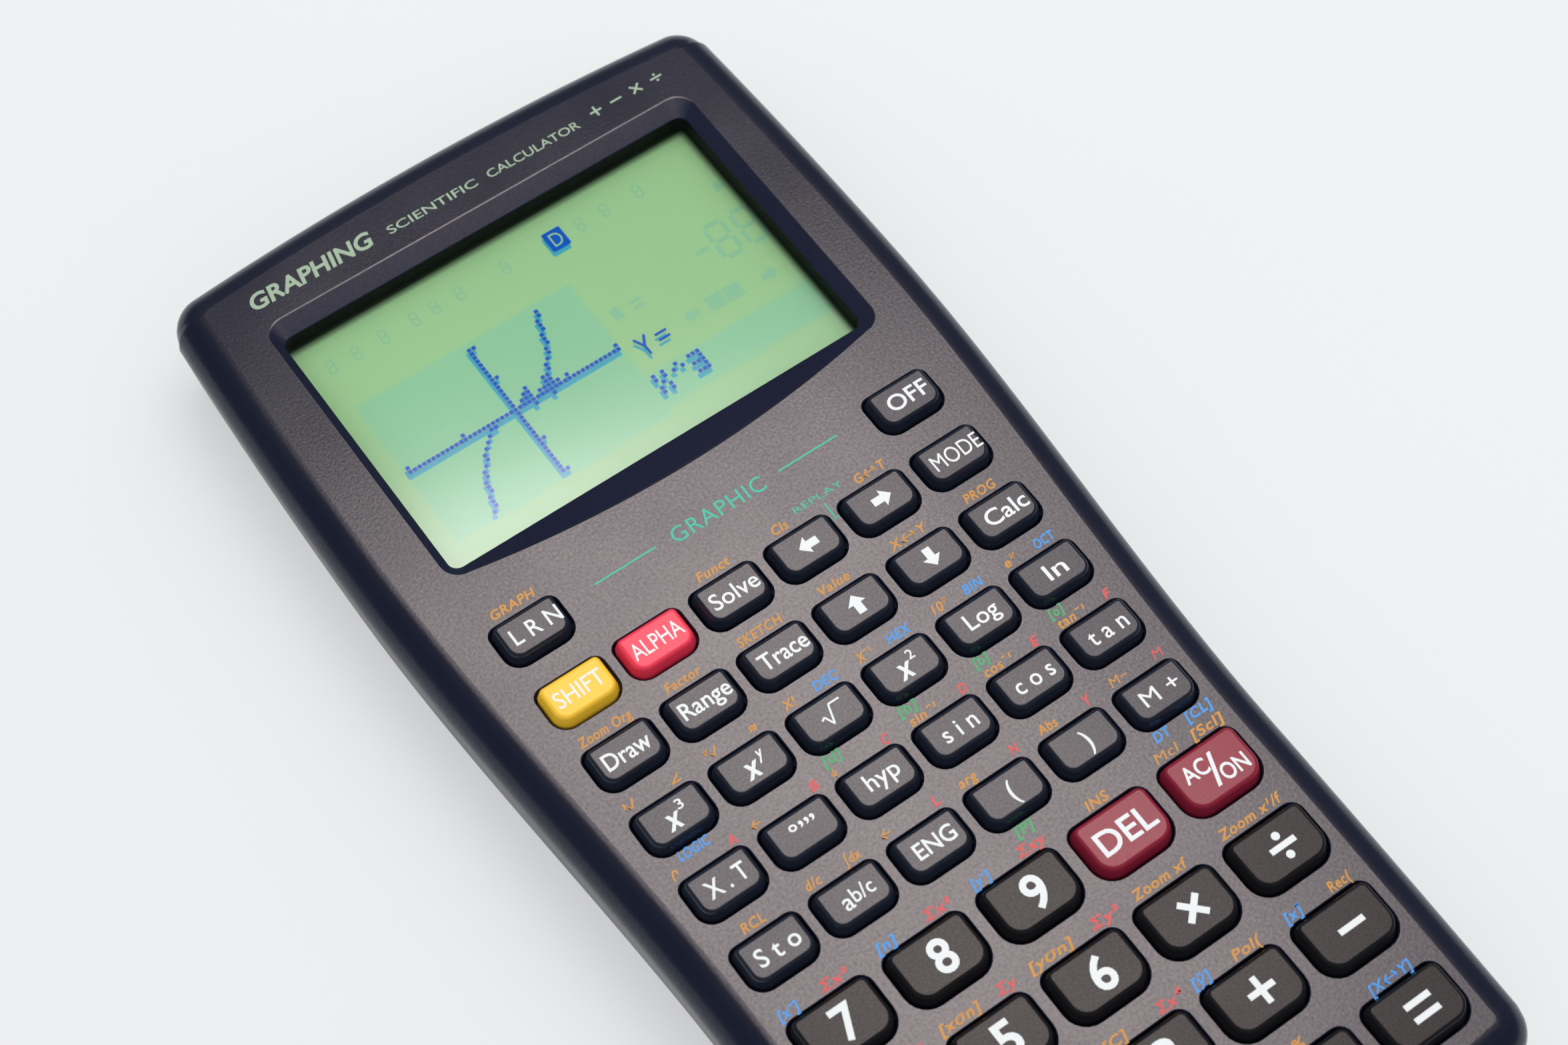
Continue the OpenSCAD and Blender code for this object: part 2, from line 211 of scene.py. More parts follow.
def add_plate(bm, low, high, corner, z0, z1, edge=0.0, steps=6):
    """Rounded plate with an optional bevel round its top and bottom."""
    rings = [(0, z0), (0, z1)]
    if edge:
        rings = [(edge, z0), (0, z0 + edge), (0, z1 - edge), (edge, z1)]
    loft = []
    for inset, z in rings:
        inner = ((low[0] + inset, low[1] + inset), (high[0] - inset, high[1] - inset))
        loft.append(raised(rounded(*inner, max(0.05, corner - inset), steps=steps), z))
    add_loft(bm, loft)


def new_object(name, data):
    obj = bpy.data.objects.new(name, data)
    bpy.context.scene.collection.objects.link(obj)
    return obj


def make_object(name, bm):
    """Turns millimetres into a metre mesh object with outward normals."""
    bmesh.ops.recalc_face_normals(bm, faces=bm.faces)
    bmesh.ops.scale(bm, vec=(MM, MM, MM), verts=bm.verts)
    mesh = bpy.data.meshes.new(name)
    bm.to_mesh(mesh)
    bm.free()
    return new_object(name, mesh)


def build(name, adder, *args, **options):
    """One object made by one adder."""
    bm = bmesh.new()
    adder(bm, *args, **options)
    return make_object(name, bm)


def combine(target, tool, operation):
    """Applies a Boolean with a throwaway tool object."""
    modifier = target.modifiers.new("combine", "BOOLEAN")
    modifier.object = tool
    modifier.operation = operation
    modifier.solver = "MANIFOLD"
    bpy.context.view_layer.update()
    evaluated = target.evaluated_get(bpy.context.evaluated_depsgraph_get())
    mesh = bpy.data.meshes.new_from_object(evaluated)
    target.modifiers.clear()
    target.data = mesh
    bpy.data.objects.remove(tool)


def unite(target, adder, *args, **options):
    """Adds one solid to an object."""
    combine(target, build("tool", adder, *args, **options), "UNION")


def cut(target, adder, *args, **options):
    """Takes one solid away from an object."""
    combine(target, build("tool", adder, *args, **options), "DIFFERENCE")


def soften(obj, crease_degrees=40):
    """Smooth shading with creases kept, and level faces kept flat right up to their edges."""
    bm = bmesh.new()
    bm.from_mesh(obj.data)
    for face in bm.faces:
        face.smooth = True
    for edge in bm.edges:
        level = [abs(face.normal.z) > 0.99999 for face in edge.link_faces]
        bent = len(level) == 2 and edge.calc_face_angle() > math.radians(crease_degrees)
        edge.smooth = not bent and (all(level) or not any(level))
    bm.to_mesh(obj.data)
    bm.free()
    normals = obj.modifiers.new("even_normals", "WEIGHTED_NORMAL")
    normals.keep_sharp = True
    normals.weight = 80


def dress(obj, *materials):
    """Puts these materials in the object's slots."""
    obj.data.materials.clear()
    for material in materials:
        obj.data.materials.append(material)


def stand_for(obj, node):
    """Puts a piece in place of a CAD node, on that node's body."""
    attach(obj, BODY[node])
    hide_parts(node)


# ------ materials
class Shader:
    """The nodes of a new material, or of a world, with short calls to add and join them."""

    def __init__(self, name, owner=None):
        self.material = owner or bpy.data.materials.new(name)
        self.material.use_nodes = True
        self.tree = self.material.node_tree
        self.coordinates = self.add("ShaderNodeTexCoord").outputs
        self.place = self.coordinates["Object"]

    def join(self, socket, value):
        """Links a socket to an output, or gives it a plain value."""
        if isinstance(value, bpy.types.NodeSocket):
            self.tree.links.new(value, socket)
        else:
            socket.default_value = value

    def add(self, kind, inputs=None, **settings):
        node = self.tree.nodes.new(kind)
        for key, value in settings.items():
            setattr(node, key, value)
        for key, value in (inputs or {}).items():
            self.join(node.inputs[key], value)
        return node

    def set(self, **inputs):
        """Sets or joins inputs of the Principled BSDF; underscores stand for spaces."""
        for key, value in inputs.items():
            self.join(self.tree.nodes["Principled BSDF"].inputs[key.replace("_", " ")], value)
        return self.material

    def surface(self, node):
        """Puts another shader in place of the Principled BSDF."""
        self.tree.nodes.remove(self.tree.nodes["Principled BSDF"])
        self.join(self.tree.nodes["Material Output"].inputs["Surface"], node.outputs[0])
        return self.material

    def noise(self, size_mm, detail=2.0, place=None):
        inputs = {"Vector": place or self.place, "Scale": 1 / (size_mm * MM), "Detail": detail}
        return self.add("ShaderNodeTexNoise", inputs).outputs["Fac"]

    def split(self, vector):
        return self.add("ShaderNodeSeparateXYZ", {0: vector}).outputs

    def span(self, value, low, high, start=0.0, end=1.0):
        """Maps a value from start..end to low..high."""
        inputs = {"Value": value, "From Min": start, "From Max": end, "To Min": low, "To Max": high}
        return self.add("ShaderNodeMapRange", inputs).outputs["Result"]

    def calculate(self, operation, a, b):
        return self.add("ShaderNodeMath", {0: a, 1: b}, operation=operation).outputs[0]

    def mix(self, factor, a, b):
        return self.add("ShaderNodeMix", {"Factor": factor, 6: a, 7: b}, data_type="RGBA").outputs[2]

    def bump(self, height, depth_mm, strength=1.0):
        inputs = {"Height": height, "Distance": depth_mm * MM, "Strength": strength}
        return self.add("ShaderNodeBump", inputs).outputs["Normal"]


def srgb(*levels):
    """Linear colour from three display values of 0 to 255."""
    parts = [level / 255 for level in levels]
    return tuple(p / 12.92 if p <= 0.04045 else ((p + 0.055) / 1.055) ** 2.4 for p in parts) + (1,)


def shade(colour, factor):
    return tuple(part * factor for part in colour[:3]) + (1,)


CLOUDINESS = 0.12


def plastic(name, colour, roughness, grain_mm, depth_mm, mirror=0.5, edge=1.0):
    """Moulded plastic with grain and cloudy gloss; mirror sets its reflection, edge its share on slopes."""
    s = Shader(name)
    cloud = s.noise(14, 3)
    grain = s.noise(grain_mm)
    level = s.span(s.split(s.coordinates["Normal"])["Z"], edge, 1, 0.88, 0.98)
    gloss = s.span(grain, mirror * 0.8, mirror * 1.2, 0.3, 0.7)
    return s.set(
        Base_Color=s.mix(cloud, shade(colour, 1 - CLOUDINESS), shade(colour, 1 + CLOUDINESS)),
        Roughness=s.span(cloud, roughness - 0.02, roughness + 0.02, 0.3, 0.7),
        Specular_IOR_Level=s.calculate("MULTIPLY", level, gloss),
        Normal=s.bump(grain, depth_mm),
    )


def ink(name, colour, roughness=0.45, mirror=0.5):
    """Opaque printed ink, faintly mottled."""
    s = Shader(name)
    return s.set(
        Base_Color=s.mix(s.span(s.noise(0.18), 0, 1, 0.62, 0.85), colour, shade(colour, 0.7)),
        Roughness=roughness,
        Specular_IOR_Level=mirror,
        Normal=s.bump(s.noise(0.12, 1), 0.004, 0.4),
    )


def metal(name, colour, roughness, stretch=18):
    """Plated steel with fine brushing and a few dull patches."""
    s = Shader(name)
    along = s.add("ShaderNodeMapping", {"Vector": s.place, "Scale": (1, stretch, 1)})
    lines = s.noise(1.2, 3, along.outputs[0])
    return s.set(
        Base_Color=s.mix(s.noise(6), shade(colour, 0.82), colour),
        Metallic=1.0,
        Roughness=s.span(lines, roughness - 0.08, roughness + 0.1),
        Normal=s.bump(lines, 0.006, 0.5),
    )


def clear_lens():
    """Hard-coated window: lets the display through and mirrors the studio at its own glancing share; that
    reflection is painted to fade from bright at the left to dim at the right.
    """
    s = Shader("clear_lens")
    # Painted reflection: the gloss colour goes from bright and bluish at the left to dim at the right, by
    # place alone
    across = s.span(s.split(s.place)["X"], 0, 1, -0.03, 0.022)
    painted_reflection_fade = s.mix(across, (0.85, 0.86, 1.0, 1), (0.28, 0.34, 0.36, 1))
    haze = s.span(s.noise(3), 0.12, 0.14)
    gloss = s.add("ShaderNodeBsdfGlossy", {"Color": painted_reflection_fade, "Roughness": haze})
    through = s.add("ShaderNodeBsdfTransparent", {"Color": (0.985, 0.995, 0.985, 1)})
    # Only the outside of the lens mirrors; a ray on its way out of it passes straight through
    outside = s.span(s.add("ShaderNodeNewGeometry").outputs["Backfacing"], 1, 0)
    fresnel = s.add("ShaderNodeFresnel", {"IOR": 2.0}).outputs[0]
    inputs = {0: s.calculate("MULTIPLY", fresnel, outside), 1: through.outputs[0], 2: gloss.outputs[0]}
    return s.surface(s.add("ShaderNodeMixShader", inputs))


def display_backing(name, colour, tint):
    """Green reflective backing with fine speckle, slow changes and a shadow under the window's walls."""
    s = Shader(name)
    colour, tint = srgb(*colour), srgb(*tint)
    speckle = s.noise(0.25, 3)
    place = s.split(s.place)
    upper = s.span(place["Y"], 1, 0, (WINDOW_HIGH - WALL_SHADOW) * MM, WINDOW_HIGH * MM)
    right = s.span(place["X"], 1, 0, (WINDOW_HALF - WALL_SHADOW) * MM, WINDOW_HALF * MM)
    base = s.mix(s.noise(20), colour, tint)
    face = s.mix(s.span(speckle, 0, 0.35, 0.35, 0.75), base, shade(colour, 1.12))
    return s.set(
        Base_Color=s.mix(s.calculate("MULTIPLY", upper, right), shade(colour, 0.06), face),
        Specular_IOR_Level=0.05,
        Roughness=0.6,
        Normal=s.bump(speckle, 0.003, 0.3),
    )


def circuit_material():
    """Green solder mask with tracks that run in cells, and small pads."""
    s = Shader("solder_mask")
    inputs = {"Color1": srgb(20, 92, 52), "Color2": srgb(16, 80, 46), "Mortar": srgb(60, 140, 84)}
    inputs |= {"Vector": s.place, "Scale": 1 / (2.2 * MM), "Mortar Size": 0.06}
    bricks = s.add("ShaderNodeTexBrick", inputs).outputs
    cells = s.add("ShaderNodeTexVoronoi", {"Vector": s.place, "Scale": 1 / (3.1 * MM)})
    pads = s.span(cells.outputs["Distance"], 1, 0, 0.12, 0.16)
    return s.set(
        Base_Color=s.mix(pads, bricks["Color"], srgb(190, 160, 90)),
        Roughness=s.span(s.noise(4), 0.25, 0.4),
        Normal=s.bump(bricks["Fac"], 0.03, 0.6),
    )


def silicone_material():
    """Grey silicone with a dusty bloom."""
    s = Shader("silicone")
    return s.set(
        Base_Color=s.mix(s.noise(5, 3), srgb(120, 122, 126), srgb(146, 148, 150)),
        Roughness=s.span(s.noise(1.5), 0.55, 0.75),
        Subsurface_Weight=0.08,
        Normal=s.bump(s.noise(0.3), 0.01, 0.5),
    )


def floor_material():
    """Pale studio floor that glows a little, so that shadows on it stay light."""
    s = Shader("studio_floor")
    return s.set(
        Base_Color=s.mix(s.noise(180, 3), (0.36, 0.37, 0.38, 1), (0.4, 0.405, 0.41, 1)),
        Roughness=s.span(s.noise(40), 0.55, 0.7),
        Specular_IOR_Level=0.2,
        Emission_Color=(0.995, 0.985, 0.985, 1),
        Emission_Strength=0.47,
        Normal=s.bump(s.noise(1.2), 0.01, 0.2),
    )


CASE_COLOUR = srgb(24, 28, 46)
case_plastic = plastic("case_plastic", CASE_COLOUR, 0.24, 0.4, 0.01, mirror=1.0, edge=0.3)
back_plastic = plastic("back_plastic", CASE_COLOUR, 0.36, 0.5, 0.02, mirror=0.5)
surround_plastic = plastic("surround_plastic", srgb(26, 30, 50), 0.3, 0.34, 0.006, mirror=0.2)
# Near black for the walls of the display well: painted shade in the recess, darker than the case plastic they
# are moulded in
well_painted_shade = plastic("well_painted_shade", srgb(9, 10, 14), 0.5, 0.5, 0.01, mirror=0.1)
KEY_PLASTICS = {
    name + "_plastic": plastic(name, srgb(*colour), roughness, 0.3, 0.004, mirror)
    for name, colour, roughness, mirror in (
        ("function_key", (28, 33, 46), 0.25, 0.72),
        ("number_key", (26, 25, 27), 0.25, 0.38),
        ("shift_key", (250, 196, 52), 0.28, 0.5),
        ("alpha_key", (243, 56, 82), 0.28, 0.5),
        ("clear_key", (138, 30, 52), 0.25, 0.5),
    )
}
INK_COLOURS = {
    "white": (235, 236, 235),
    "orange": (216, 148, 58),
    "blue": (62, 156, 240),
    "red": (230, 84, 84),
    "green": (70, 176, 110),
    "teal": (62, 190, 160),
    "pale": (160, 180, 154),
}
INKS = {name: ink("ink_" + name, srgb(*colour)) for name, colour in INK_COLOURS.items()}
panel_material = display_backing("display_green", (166, 210, 154), (173, 214, 156))
matrix_material = display_backing("display_matrix", (152, 208, 164), (158, 212, 168))
ghost_material = display_backing("display_ghost", (150, 204, 164), (154, 206, 166))
dot_material = ink("display_dots", srgb(0, 92, 206), 0.5, mirror=0.0)
dot_shadow_material = ink("display_dot_shadows", srgb(72, 176, 200), 0.6, mirror=0.0)


# ------ case halves
def surround_ring(share, z, steps=6, bow_steps=24):
    """Display surround from the window (share 0) to its outer edge (share 1), bowed towards the keys."""
    shift, bow = SURROUND_SHIFT * share, SURROUND_BOW * share
    corner = WINDOW_CORNER + (SURROUND_CORNER - WINDOW_CORNER) * share
    reach = WINDOW_HALF + SURROUND_SIDE * share - corner
    low, high = WINDOW_LOW - SURROUND_LOW * share, WINDOW_HIGH + SURROUND_HIGH * share
    centres = [(reach, high - corner), (-reach, high - corner), (-reach, low + corner), (reach, low + corner)]
    arcs = [corner_arc(shift + x, y, corner, i * math.pi / 2, steps) for i, (x, y) in enumerate(centres)]
    bowed = []
    for i in range(1, bow_steps):
        t = 2 * i / bow_steps - 1
        bowed.append((shift + t * reach, low - bow * (1 - t * t)))
    return raised(arcs[0] + arcs[1] + arcs[2] + bowed + arcs[3], z)


def key_frame(node):
    """Centre, width and depth of a key's cap, without its side flanges."""
    low, high = corners(node)
    centre = ((low.x + high.x) / 2, (low.y + high.y) / 2)
    return centre, high.x - low.x - 2 * KEY_FLANGE, high.y - low.y


def key_corners(node):
    """Radii of a key's lower and upper corners."""
    return (2.8, 1.4) if SLOT[node] in ("number_key_plastic", "clear_key_plastic") else (2.1, 1.1)


def at_screws(bm, radius, low, high):
    for place in SCREW_PLACES:
        add_lathe(bm, place, [(radius, low), (radius, high)], 32)


# How each key opening widens towards the face: inset, and height above the face
OPENING_EDGE = ((0, -SKIN - 1), (0, -0.5), (-0.03, -0.22), (-0.1, -0.07), (-0.22, 0), (-0.4, 0.4))
ROLL_ANGLES = (0, 8, 18, 28, 38, 48, 58, 68, 76, 83, 90)
WINDOW_RIM = 1.6
LIP = 0.3
FRONT_COLUMN = 1.8
PILOT = 0.9
PILOT_TOP = 13.4
# Share of the way out from the window, and height above the face
SURROUND_SLOPE = ((0, -SURROUND_DROP - 0.12), (0.04, -SURROUND_DROP), (0.93, -0.05), (1, -0.004), (1.03, 0.4))


def build_front_case():
    roll = [math.radians(angle) for angle in ROLL_ANGLES]
    rise = FACE - PARTING - LIP
    profile = [(WALL, FACE - SKIN), (WALL, PARTING + 1.1), (1.0, PARTING + 1.1), (1.0, PARTING)]
    profile += [(LIP, PARTING), (0.1, PARTING + 0.1)]
    profile += [(ROLL_WIDTH * (1 - math.cos(a)), PARTING + LIP + rise * math.sin(a)) for a in roll]
    case = build("front_case_shell", add_loft, [raised(case_outline(i), z) for i, z in profile])

    extra = bmesh.new()
    half, low, high = WINDOW_HALF + WINDOW_RIM, WINDOW_LOW - WINDOW_RIM, WINDOW_HIGH + WINDOW_RIM
    top = FACE - SKIN + 0.4
    add_plate(extra, (-half, low), (half, high), WINDOW_CORNER + WINDOW_RIM, LENS_TOP, top)
    at_screws(extra, FRONT_COLUMN, front_low.z, top)
    combine(case, make_object("extra", extra), "UNION")

    cuts = bmesh.new()
    rings = [surround_ring(0, LENS_TOP - 2)]
    add_loft(cuts, rings + [surround_ring(share, FACE + z) for share, z in SURROUND_SLOPE])
    for node in KEY_NODES:
        centre, width, depth = key_frame(node)
        size = width + 2 * KEY_GAP, depth + 2 * KEY_GAP
        radii = [radius + KEY_GAP for radius in key_corners(node)]
        add_loft(cuts, [raised(centred(*size, i, *radii), FACE + z, centre) for i, z in OPENING_EDGE])
    at_screws(cuts, PILOT, front_low.z - 1, PILOT_TOP)
    combine(case, make_object("cuts", cuts), "DIFFERENCE")
    dress(case, case_plastic, well_painted_shade, surround_plastic)
    reach = WINDOW_HALF + SURROUND_SIDE + SURROUND_SHIFT + 0.3
    for polygon in case.data.polygons:
        middle = polygon.center / MM
        beside = abs(middle.x) < WINDOW_HALF + 0.3 and WINDOW_LOW - 0.3 < middle.y < WINDOW_HIGH + 0.3
        # The deep walls round the display window get the near-black painted shade
        if beside and middle.z < FACE - SURROUND_DROP:
            polygon.material_index = 1
        near = abs(middle.x) < reach and WINDOW_LOW - 6 < middle.y < WINDOW_HIGH + SURROUND_HIGH + 0.2
        if near and middle.z < FACE - 0.04 and 0.5 < polygon.normal.z < 0.999:
            polygon.material_index = 2
    soften(case)
    stand_for(case, "front_case")


# Cover, hinge, latch and cells
KNUCKLE = 1.1
PIN = 0.7
PIN_HOLE = 0.77
PIN_LENGTH = 1.8
COVER_HALF = cover_high.x - PIN_LENGTH
COVER_GAP = 0.25
COVER_THICKNESS = 1.6
LATCH_HALF = 5
LATCH_Y = 61
LATCH_GAP = 0.4
CELL_OFFSET = 11
CELL_POCKET = 10.3
BAY_WALL = 1.4
BAY_TOP = 6.4
RECESS = 1.75
REAR_COLUMN = 3
REAR_COLUMN_TOP = 9.8
SCREW_CLEARANCE = 1.15
# Shallow slots in the back, in two groups
SLOT_GROUPS = (-27, 27)
SLOT_PITCH = 1.6


def build_rear_case():
    profile = [(3.2, 0), (2.75, 0.06), (2.35, 0.2), (2.0, 0.45), (1.72, 0.8), (1.5, 1.3), (1.36, 2.2)]
    profile += [(0.08, PARTING - 0.25), (0.12, PARTING - 0.1), (LIP, PARTING)]
    profile += [(1.15, PARTING), (1.15, rear_high.z), (2.2, rear_high.z), (2.2, PARTING)]
    profile += [(WALL, PARTING), (WALL, SKIN)]
    case = build("rear_case_shell", add_loft, [raised(case_outline(i), z) for i, z in profile])

    hinge_y = cover_low.y + KNUCKLE
    half = COVER_HALF + COVER_GAP
    low, high = cover_low.y - COVER_GAP, cover_high.y + COVER_GAP
    bay = half + PIN_LENGTH + BAY_WALL
    extra = bmesh.new()
    add_plate(extra, (-bay, low - BAY_WALL), (bay, high + BAY_WALL), 1, 1, BAY_TOP)
    at_screws(extra, REAR_COLUMN, SKIN - 0.5, REAR_COLUMN_TOP)
    combine(case, make_object("extra", extra), "UNION")

    cut(case, add_plate, (-half, low), (half, high), 0.6, -1, RECESS)
    cuts = bmesh.new()
    add_rod(cuts, -half - PIN_LENGTH, half + PIN_LENGTH, hinge_y, KNUCKLE, PIN_HOLE)
    at_screws(cuts, SCREW_CLEARANCE, -1, 11)
    combine(case, make_object("cuts", cuts), "DIFFERENCE")
    cut(case, add_rod, -half, half, hinge_y, KNUCKLE, KNUCKLE + COVER_GAP)
    middle, top = (cells_low.y + cells_high.y) / 2, cells_high.z
    mouth = CELL_POCKET + 0.3
    pocket = [(mouth, -0.5), (mouth, 1.3), (CELL_POCKET, 1.7), (CELL_POCKET, top + 0.2)]
    for side in (-1, 1):
        place = (side * CELL_OFFSET, middle)
        cut(case, add_lathe, place, pocket, 96)
        cut(case, add_lathe, place, [(2.2, top - 1), (2.2, 7.4)], 32)
        # A thumb scoop beside each cell, so that it can be lifted out
        cut(case, add_lathe, (side * (CELL_OFFSET + 10), middle), [(4, 0), (4, 3.6), (3.4, 4.2)])
    for place in SCREW_PLACES:
        cut(case, add_lathe, place, [(2.35, -1), (2.35, 0), (2.05, 0.3), (2.0, 3)], 40)
    latch = (-LATCH_HALF - LATCH_GAP, LATCH_Y - LATCH_GAP), (LATCH_HALF + LATCH_GAP, high)
    cut(case, add_plate, *latch, 0.3, 0.5, cover_high.z + 0.4)
    # A fingernail notch at the cover's free edge and a shallow panel for an owner's label
    cut(case, add_plate, (-6, cover_high.y - 0.5), (6, cover_high.y + 4), 1.8, -1, 0.9)
    cut(case, add_plate, (-26, -58), (26, -18), 2, -1, 0.3)
    for x in SLOT_GROUPS:
        for i in range(5):
            y = 70.5 + SLOT_PITCH * i
            cut(case, add_plate, (x - 5, y), (x + 5, y + SLOT_PITCH / 2), 0.4, -1, 0.35)
    soften(case)
    dress(case, back_plastic)
    stand_for(case, "rear_case")


# ------ cover, cells and screws
def build_cover():
    hinge_y = cover_low.y + KNUCKLE
    size = (-COVER_HALF, hinge_y), (COVER_HALF, cover_high.y)
    cover = build("battery_cover_plate", add_plate, *size, 0.5, 0, COVER_THICKNESS, edge=0.2)
    unite(cover, add_rod, -COVER_HALF, COVER_HALF, hinge_y, KNUCKLE, KNUCKLE, 0.15, 40)
    unite(cover, add_rod, -cover_high.x, cover_high.x, hinge_y, KNUCKLE, PIN, 0.15)
    latch = (-LATCH_HALF, LATCH_Y), (LATCH_HALF, LATCH_Y + 0.9)
    unite(cover, add_plate, *latch, 0.2, COVER_THICKNESS - 0.5, cover_high.z, edge=0.15)
    # A thumb scoop with grip ribs left standing in it, and an arrow that points the way it opens
    cut(cover, add_plate, (-9, 50.4), (9, 58.6), 2.2, -1, 0.35, steps=8)
    ribs = bmesh.new()
    for i in range(5):
        y = 51.4 + 1.45 * i
        add_plate(ribs, (-7.6, y), (7.6, y + 0.6), 0.3, 0.04, 0.6)
    combine(cover, make_object("ribs", ribs), "UNION")
    arrow = [(-0.8, 46), (-0.8, 43), (0.8, 43), (0.8, 46), (2.2, 46), (0, 48.2), (-2.2, 46)]
    cut(cover, add_loft, [raised(arrow, -1), raised(arrow, 0.3)])
    soften(cover)
    dress(cover, back_plastic)
    stand_for(cover, "battery_cover")


def build_cells():
    low, high = cells_low.z, cells_high.z
    radius = (cells_high.y - cells_low.y) / 2
    middle = (cells_low.y + cells_high.y) / 2
    # The wide can faces the cover, and the smaller cap sits behind a seal groove: inset and depth
    can = [(1.6, 0.06), (1.0, 0), (0.45, 0.08), (0.12, 0.3), (0, 0.7)]
    cap = [(0, 0.75), (0.12, 0.5), (0.5, 0.38), (0.95, 0.5), (1.15, 0.42), (1.3, 0.1), (1.6, 0)]
    profile = [(radius - inset, low + depth) for inset, depth in can]
    profile += [(radius - inset, high - depth) for inset, depth in cap]
    bm = bmesh.new()
    for side in (-1, 1):
        add_lathe(bm, (side * CELL_OFFSET, middle), profile, 96)
    cells = make_object("coin_cells", bm)
    soften(cells, 50)
    dress(cells, metal("cell_steel", srgb(205, 205, 208), 0.24))
    stand_for(cells, "batteries")


HEAD_HEIGHT = 1.3
THREAD_TURNS = 11


def build_screws():
    bottom, top = screws_low.z, screws_high.z
    seat = bottom + HEAD_HEIGHT
    profile = [(1.35, bottom), (1.62, bottom + 0.1), (1.75, bottom + 0.4), (1.75, seat - 0.1), (1.65, seat)]
    profile.append((0.8, seat + 0.05))
    for i in range(THREAD_TURNS):
        z = seat + 0.8 + (top - seat - 1.4) * i / THREAD_TURNS
        profile += [(0.72, z), (PILOT, z + 0.28), (0.72, z + 0.56)]
    profile += [(0.6, top - 0.25), (0.25, top)]
    bm = bmesh.new()
    for place in SCREW_PLACES:
        add_lathe(bm, place, profile, 32)
    screws = make_object("case_screws", bm)
    for long, wide in ((0.95, 0.22), (0.22, 0.95)):
        cross = bmesh.new()
        for x, y in SCREW_PLACES:
            add_plate(cross, (x - long, y - wide), (x + long, y + wide), 0.1, bottom - 1, bottom + 0.75)
        combine(screws, make_object("cross", cross), "DIFFERENCE")
    soften(screws, 35)
    dress(screws, metal("screw_steel", srgb(168, 168, 172), 0.3, stretch=1))
    stand_for(screws, "screws")


# ------ lettering
FONT_CAP = 0.682
INK_THICKNESS = 0.02
glyph_store = {}


def letters(text, bold, slant, spacing):
    """Vertices and faces of raised lettering in font units, closed and cached."""
    key = (text, bold, slant, spacing)
    if key in glyph_store:
        return glyph_store[key]
    curve = bpy.data.curves.new("letters", "FONT")
    curve.body = text
    curve.extrude = 0.05
    # The strokes of a thickened M overlap each other
    curve.offset = 0.0 if "M" in text else bold
    curve.shear = slant
    curve.space_character = spacing
    curve.resolution_u = 4
    holder = new_object("letters", curve)
    bpy.context.view_layer.update()
    mesh = bpy.data.meshes.new_from_object(holder.evaluated_get(bpy.context.evaluated_depsgraph_get()))
    bpy.data.objects.remove(holder)
    bm = bmesh.new()
    bm.from_mesh(mesh)
    bpy.data.meshes.remove(mesh)
    bmesh.ops.remove_doubles(bm, verts=bm.verts, dist=0.0004)
    bm.verts.index_update()
    points = [vertex.co.copy() for vertex in bm.verts]
    faces = [[vertex.index for vertex in face.verts] for face in bm.faces]
    bm.free()
    glyph_store[key] = (points, faces)
    return glyph_store[key]


def add_text(bm, text, x0, x1, y0, cap, z, bold=0.0, slant=0.0, spacing=1.0):
    """Raised lettering from x0 to x1 with its baseline at y0."""
    points, faces = letters(text, bold, slant, spacing)
    low = min(p.x for p in points)
    high = max(p.x for p in points)
    scale_x, scale_y = (x1 - x0) / (high - low), cap / FONT_CAP
    verts = []
    for p in points:
        height = z + (INK_THICKNESS if p.z > 0 else -INK_THICKNESS / 2)
        verts.append(bm.verts.new((x0 + (p.x - low) * scale_x, y0 + p.y * scale_y, height)))
    for face in faces:
        try:
            bm.faces.new([verts[i] for i in face])
        except ValueError:
            # Merged points can leave the same face twice
            pass


def add_shape(bm, outline, z):
    """Flat raised print with any outline."""
    add_loft(bm, [raised(outline, z - INK_THICKNESS / 2), raised(outline, z + INK_THICKNESS)])


def add_stroke(bm, start, end, half, z):
    """Straight pen stroke between two points."""
    side = (end - start).orthogonal().normalized() * half
    add_shape(bm, [tuple(p) for p in (start - side, end - side, end + side, start + side)], z)


def block_arrow(centre, size, angle):
    """Arrow with a broad shaft, pointing along +X before it is turned."""
    shape = [(-0.5, -0.2), (0.02, -0.2), (0.02, -0.46), (0.5, 0), (0.02, 0.46), (0.02, 0.2), (-0.5, 0.2)]
    c, s = math.cos(angle), math.sin(angle)
    return [(centre[0] + size * (x * c - y * s), centre[1] + size * (x * s + y * c)) for x, y in shape]


def print_object(name, bm, colour, body="case"):
    obj = make_object(name, bm)
    dress(obj, INKS[colour])
    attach(obj, body)


